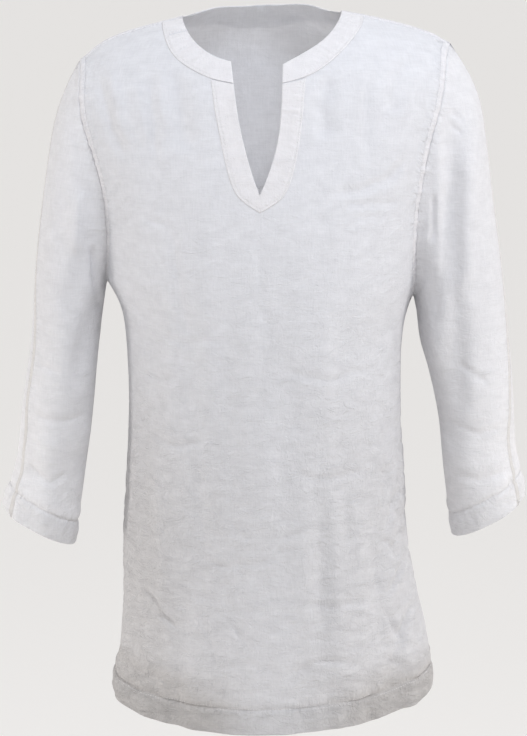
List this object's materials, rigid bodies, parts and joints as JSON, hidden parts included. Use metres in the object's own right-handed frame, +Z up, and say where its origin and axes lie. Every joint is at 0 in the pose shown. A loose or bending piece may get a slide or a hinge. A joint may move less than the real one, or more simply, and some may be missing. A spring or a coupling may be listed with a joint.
{
  "type": "tunic_shirt",
  "caption": "White linen tunic shirt with a slit neck edged by a stitched facing, an applied neck band and three-quarter sleeves, held hollow as it is worn",
  "frame": {"origin": "Midway between the two neck points, where the shoulder seams meet the neck, in the plane of the shoulder seams", "axes": "+Z up along the hanging body, -Y to the front of the garment, +X to the wearer's left"},
  "size_m": [0.5599, 0.2656, 0.7412],
  "materials": {
    "linen_front_panel": "plain weave, matt",
    "linen_back_panel": "plain weave, matt",
    "linen_sleeve_right_front": "plain weave, matt",
    "linen_sleeve_right_back": "plain weave, matt",
    "linen_sleeve_left_front": "plain weave, matt",
    "linen_sleeve_left_back": "plain weave, matt",
    "linen_neck_band_right": "plain weave, matt",
    "linen_neck_band_left": "plain weave, matt",
    "linen_neck_band_back": "plain weave, matt",
    "linen_slit_facing": "plain weave, matt"
  },
  "bodies": {
    "root": {"front_panel": "linen_front_panel", "back_panel": "linen_back_panel", "sleeve_right_front": "linen_sleeve_right_front", "sleeve_right_back": "linen_sleeve_right_back", "sleeve_left_front": "linen_sleeve_left_front", "sleeve_left_back": "linen_sleeve_left_back", "neck_band_right": "linen_neck_band_right", "neck_band_left": "linen_neck_band_left", "neck_band_back": "linen_neck_band_back", "slit_facing": "linen_slit_facing"}
  },
  "joints": []
}
